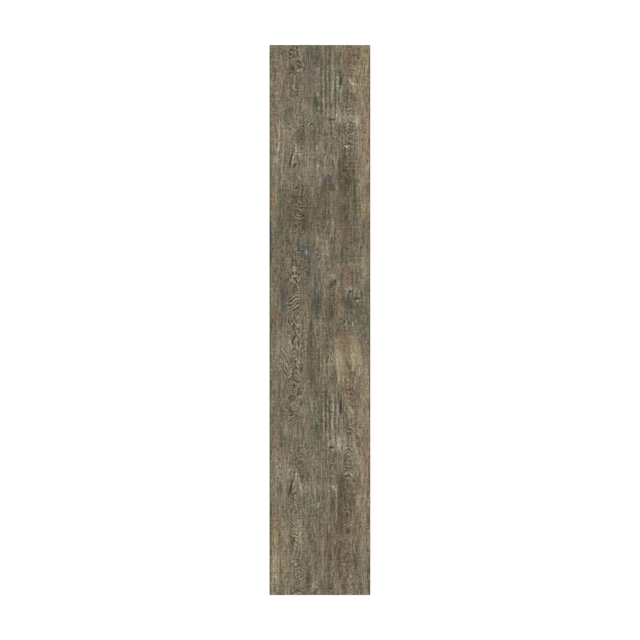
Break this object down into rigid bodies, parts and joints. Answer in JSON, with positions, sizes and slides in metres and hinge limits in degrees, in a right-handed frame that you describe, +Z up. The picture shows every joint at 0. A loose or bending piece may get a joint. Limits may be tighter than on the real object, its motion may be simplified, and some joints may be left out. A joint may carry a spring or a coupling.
{
  "type": "wood-look porcelain plank floor tile",
  "caption": "Long flat porcelain floor tile with a weathered wood-look face, bevelled long edges, ground square sides and a keyed back for adhesive.",
  "frame": {"origin": "middle of the back, on the surface that the tile lies on", "axes": "+X across the plank, +Y along it, +Z up out of the printed face"},
  "size_m": [0.22, 1.2, 0.0095],
  "materials": {
    "tile_body": "matt glazed face with a weathered grey-brown wood print, bare fired body on the sides and back"
  },
  "bodies": {
    "root": {"floor_tile": "tile_body"}
  },
  "joints": []
}
